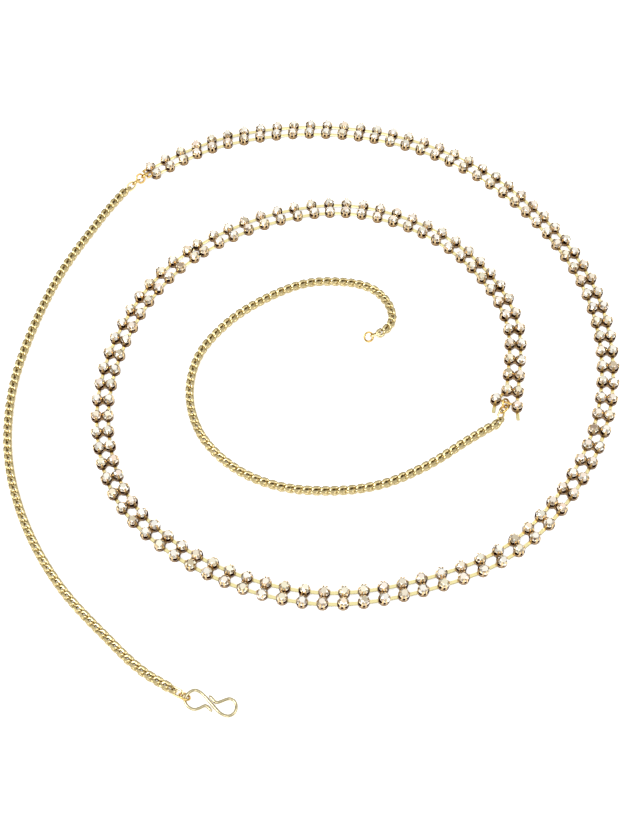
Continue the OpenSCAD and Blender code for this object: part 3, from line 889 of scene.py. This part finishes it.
class CHAIN_OT_cups(Operator):
    """Make the cups with their claws and the solder between them."""

    bl_idname = "waist_chain.cups"
    bl_label = "Cups"

    def execute(self, context):
        z, finish, layout = setting(context)
        rng = np.random.default_rng(z.seed)
        wobble = 0.1
        metal = gold("cup gold", finish.cup_bright, finish.cup_deep, 0.2)
        claws = [claw(z).moved(math.radians(turn)) for turn in CLAWS]
        cup = joined([cup_body(z)] + claws)
        for name, node, first, last in (
            ("cups_outer", "cup_chain_outer", 0, layout.half),
            ("cups_inner", "cup_chain_inner", layout.half, layout.pairs),
            ("cups_end", "end_pair", layout.pairs, layout.pairs + 1),
        ):
            spots = np.vstack([c[first:last] for c in layout.cups])
            turns = np.concatenate([t[first:last] for t in layout.cup_turns])
            turns = turns + rng.uniform(-wobble, wobble, len(turns))
            parts = [copies(cup, spots, turns)]
            if first < layout.pairs:
                places, headings = layout.pair_at[first:last], layout.heading[first:last]
                parts.append(copies(solder(z), places, headings))
            dress(mesh_object(name, joined(parts), metal, smooth=40), "cups", node)
        return {"FINISHED"}


class CHAIN_OT_stones(Operator):
    """Make the round cut stones, one in each cup."""

    bl_idname = "waist_chain.stones"
    bl_label = "Stones"

    def execute(self, context):
        z, finish, layout = setting(context)
        rng = np.random.default_rng(z.seed + 1)
        clear = glass("cut glass")
        tilt = 0.05
        for name, first, last in (
            ("stones_outer", 0, layout.half),
            ("stones_inner", layout.half, layout.pairs + 1),
        ):
            spots = np.vstack([c[first:last] for c in layout.cups])
            count = len(spots)
            tilts = rng.normal(0, tilt, (count, 2))
            tints = stone_tints(count, np.array(finish.stone_tint), rng)
            stones = copies(stone(z), spots, rng.uniform(0, 2 * np.pi, count), tilts, tints)
            dress(mesh_object(name, stones, clear), "stones")
        return {"FINISHED"}


class CHAIN_OT_bars(Operator):
    """Make the flat bars between the cups, the loose ones at the end, and the round cross bars."""

    bl_idname = "waist_chain.bars"
    bl_label = "Bars"

    def execute(self, context):
        z, finish, layout = setting(context)
        metal = gold("bar gold", finish.bar_bright, finish.bar_deep, 0, pits=0.04, tarnish=0.2)
        # How far a bar starts inside its own cup, and how far from the next cup's middle it ends.
        inset, short = 0.2 * MM, 0.9 * MM
        start = z.cup_d / 2 - inset
        for name, node, first, last in (
            ("bars_outer", "cup_chain_outer", 0, layout.half),
            ("bars_inner", "cup_chain_inner", layout.half, layout.pairs),
        ):
            parts = []
            for cups in layout.cups:
                for a, b in zip(cups[first:last], cups[first + 1 : last + 1]):
                    reach = np.linalg.norm(b - a) - short
                    turn = turn_of(b - a)
                    parts.append(bar(z, start, reach, turn).moved(turn, (*a, 0)))
            dress(mesh_object(name, joined(parts), metal, smooth=35), "cups", node)
        loose = [
            bar(z, start, z.cup_d / 2 + z.bar_free, shade=0.75).moved(turns[-1], (*cups[-1], 0))
            for cups, turns in zip(layout.cups, layout.cup_turns)
        ]
        dress(mesh_object("bars_end", joined(loose), metal, smooth=35), "cups", "end_pair")

        plain = gold("cross bar gold", finish.ring_bright, finish.ring_deep, 0.16, tarnish=0.3)

        def rod(x1, y1, x2, y2):
            return wire_bar((x1, y1, layout.ring_z), (x2, y2, layout.ring_z), z.cross_wire)

        far, wide = -layout.cross_reach, layout.row_pitch / 2
        ends = wide + z.cross_wire / 2
        rods = [rod(far, side * wide, -z.cup_d / 2 + inset, side * wide) for side in (-1, 1)]
        rods.append(rod(far, -ends, far, ends))
        cross = joined(rods).moved(layout.heading[0], (*layout.pair_at[0], 0))
        dress(mesh_object("cross_bar", cross, plain, smooth=40), "rings", "cup_chain_outer")
        a, b = layout.bridge
        step = (b - a) / np.linalg.norm(b - a) * start
        bridge = rod(*(a + step), *(b - step))
        dress(mesh_object("bridge_bar", bridge, plain, smooth=40), "rings", "end_pair")
        return {"FINISHED"}


class CHAIN_OT_curbs(Operator):
    """Make the two curb chains out of twisted links, and the oval link at each of their ends."""

    bl_idname = "waist_chain.curbs"
    bl_label = "Curb chains"

    def execute(self, context):
        z, finish, layout = setting(context)
        rng = np.random.default_rng(z.seed + 2)
        metal = gold("chain gold", finish.chain_bright, finish.chain_deep, 0.14, tarnish=0.35)
        lean = 0.035
        link = curb_link(z, layout)
        stands = {
            "outer": ("outer_curb_chain_start", "outer_curb_chain_finish"),
            "inner": ("inner_curb_chain",),
        }
        for side, route in layout.curbs.items():
            count = 1 + round(route.run / z.curb_pitch)
            along = route.run * np.arange(count) / (count - 1)
            places = np.column_stack([route.at(along), np.full(count, layout.curb_t / 2)])
            tilts = np.column_stack([rng.normal(0, lean, count), np.zeros(count)])
            turns = route.heading(along, z.curb_pitch)
            # The first link lies half way between the end link that it hangs from and the second.
            swing = layout.links[f"{side}_chain_join_link"][1] - turns[1]
            turns[0] = turns[1] + ((swing + np.pi) % (2 * np.pi) - np.pi) / 2
            chain = copies(link, places, turns, tilts)
            dress(mesh_object(f"curb_{side}", chain, metal, smooth=60), "chain", *stands[side])
        oval = end_link(layout, z.link_wire)
        for node, (place, turn) in layout.links.items():
            shape = oval.moved(turn, (*place, layout.link_z), -layout.slope, layout.link_dip)
            dress(mesh_object(f"{node}_wire", shape, metal, smooth=60), "chain", node)
        return {"FINISHED"}


class CHAIN_OT_rings(Operator):
    """Make the jump rings, each with the cut where its ends meet."""

    bl_idname = "waist_chain.rings"
    bl_label = "Jump rings"

    def execute(self, context):
        z, finish, layout = setting(context)
        rng = np.random.default_rng(z.seed + 3)
        metal = gold("ring gold", finish.ring_bright, finish.ring_deep, 0.12, tarnish=0.3)
        cut, cut_from, cut_to = 0.05 * MM, 0.6, 1.2
        ring = jump_ring(layout.ring_r, z.ring_wire, cut)
        for node, (place, turn, lean) in layout.rings.items():
            spun = ring.moved(rng.uniform(cut_from, cut_to))
            shape = spun.moved(turn, (*place, layout.ring_z), lean * layout.slope)
            dress(mesh_object(f"{node}_wire", shape, metal, smooth=60), "rings", node)
        return {"FINISHED"}


class CHAIN_OT_hook(Operator):
    """Make the S hook."""

    bl_idname = "waist_chain.hook"
    bl_label = "Hook"

    def execute(self, context):
        z, finish, layout = setting(context)
        metal = gold("hook gold", finish.hook_bright, finish.hook_deep, 0.12, tarnish=0.6)
        wire = mesh_object("s_hook_wire", hook_shape(z, layout), metal, smooth=60)
        dress(wire, "hook", "s_hook")
        return {"FINISHED"}


class CHAIN_OT_stage(Operator):
    """Make the pale floor, the soft lights, the world and the camera at the photo's angle."""

    bl_idname = "waist_chain.stage"
    bl_label = "Stage"

    elevation = math.radians(57.6)
    focal_px = 1344
    width_px = 624
    px_per_metre = 3480
    sensor_mm = 36
    look_at = Vector((-0.0011, -0.0124, 0))

    def execute(self, context):
        finish = context.scene.chain_finish
        bpy.ops.mesh.primitive_plane_add(size=3)
        floor = context.object
        floor.name = "floor"
        paper = bpy.data.materials.new("floor paper")
        tree = Tree(paper)
        sockets = {
            "Base Color": rgba(finish.floor),
            "Roughness": 0.9,
            "Specular IOR Level": 0.1,
            "Emission Color": (1, 1, 1, 1),
            "Emission Strength": 0.55,
        }
        shader = tree.node("ShaderNodeBsdfPrincipled", sockets=sockets)
        tree.node("ShaderNodeOutputMaterial", sockets={"Surface": shader})
        floor.data.materials.append(paper)

        for name, place, size, power in (
            ("key light", (-0.55, -0.15, 0.65), 0.4, 4.5),
            ("fill light", (0.55, -0.1, 0.6), 0.45, 2),
            ("front light", (-0.1, -0.6, 0.5), 0.4, 1.2),
        ):
            lamp = bpy.data.lights.new(name, "AREA")
            lamp.shape, lamp.size, lamp.energy = "SQUARE", size, power
            holder = bpy.data.objects.new(name, lamp)
            holder.location = place
            holder.rotation_euler = (-Vector(place)).to_track_quat("-Z", "Y").to_euler()
            context.collection.objects.link(holder)

        world = bpy.data.worlds.new("studio")
        context.scene.world = world
        tree = Tree(world)
        place = tree.node("ShaderNodeTexCoord", output="Generated")
        height = tree.node("ShaderNodeSeparateXYZ", sockets={"Vector": place}, output="Z")
        sky = tree.ramp(
            height, [(0.0, (0.25, 0.24, 0.22)), (0.3, (0.2, 0.19, 0.18)), (0.62, (1.0, 1.0, 1.0))]
        )
        light = tree.node("ShaderNodeBackground", sockets={"Color": sky, "Strength": 0.95})
        tree.node("ShaderNodeOutputWorld", sockets={"Surface": light})

        distance = self.focal_px / self.px_per_metre
        back = Vector((0, -math.cos(self.elevation), math.sin(self.elevation)))
        lens = bpy.data.cameras.new("camera")
        lens.sensor_fit, lens.sensor_width = "HORIZONTAL", self.sensor_mm
        lens.lens = self.sensor_mm * self.focal_px / self.width_px
        lens.clip_start, lens.clip_end = 0.01, 10
        camera = bpy.data.objects.new("camera", lens)
        camera.location = self.look_at + distance * back
        camera.rotation_euler = (-back).to_track_quat("-Z", "Y").to_euler()
        context.collection.objects.link(camera)
        context.scene.camera = camera
        context.scene.view_settings.view_transform = "Standard"
        return {"FINISHED"}


class CHAIN_PT_panel(Panel):
    """Lists the steps and the sizes of the waist chain."""

    bl_idname = "CHAIN_PT_panel"
    bl_label = "Waist chain"
    bl_space_type = "VIEW_3D"
    bl_region_type = "UI"
    bl_category = "Waist chain"

    def draw(self, context):
        for step in STEPS:
            self.layout.operator(step.bl_idname)
        for group in (context.scene.chain_sizes, context.scene.chain_finish):
            box = self.layout.box()
            for name in group.__annotations__:
                box.prop(group, name)


STEPS = (
    CHAIN_OT_cups,
    CHAIN_OT_stones,
    CHAIN_OT_bars,
    CHAIN_OT_curbs,
    CHAIN_OT_rings,
    CHAIN_OT_hook,
    CHAIN_OT_stage,
)
CLASSES = (CHAIN_PG_sizes, CHAIN_PG_finish, *STEPS, CHAIN_PT_panel)


def register():
    for cls in CLASSES:
        bpy.utils.register_class(cls)
    bpy.types.Scene.chain_sizes = PointerProperty(type=CHAIN_PG_sizes)
    bpy.types.Scene.chain_finish = PointerProperty(type=CHAIN_PG_finish)


def unregister():
    del bpy.types.Scene.chain_finish
    del bpy.types.Scene.chain_sizes
    for cls in reversed(CLASSES):
        bpy.utils.unregister_class(cls)


def main():
    """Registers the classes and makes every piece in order."""
    register()
    for step in STEPS:
        group, name = step.bl_idname.split(".")
        getattr(getattr(bpy.ops, group), name)()


if __name__ == "__main__":
    main()
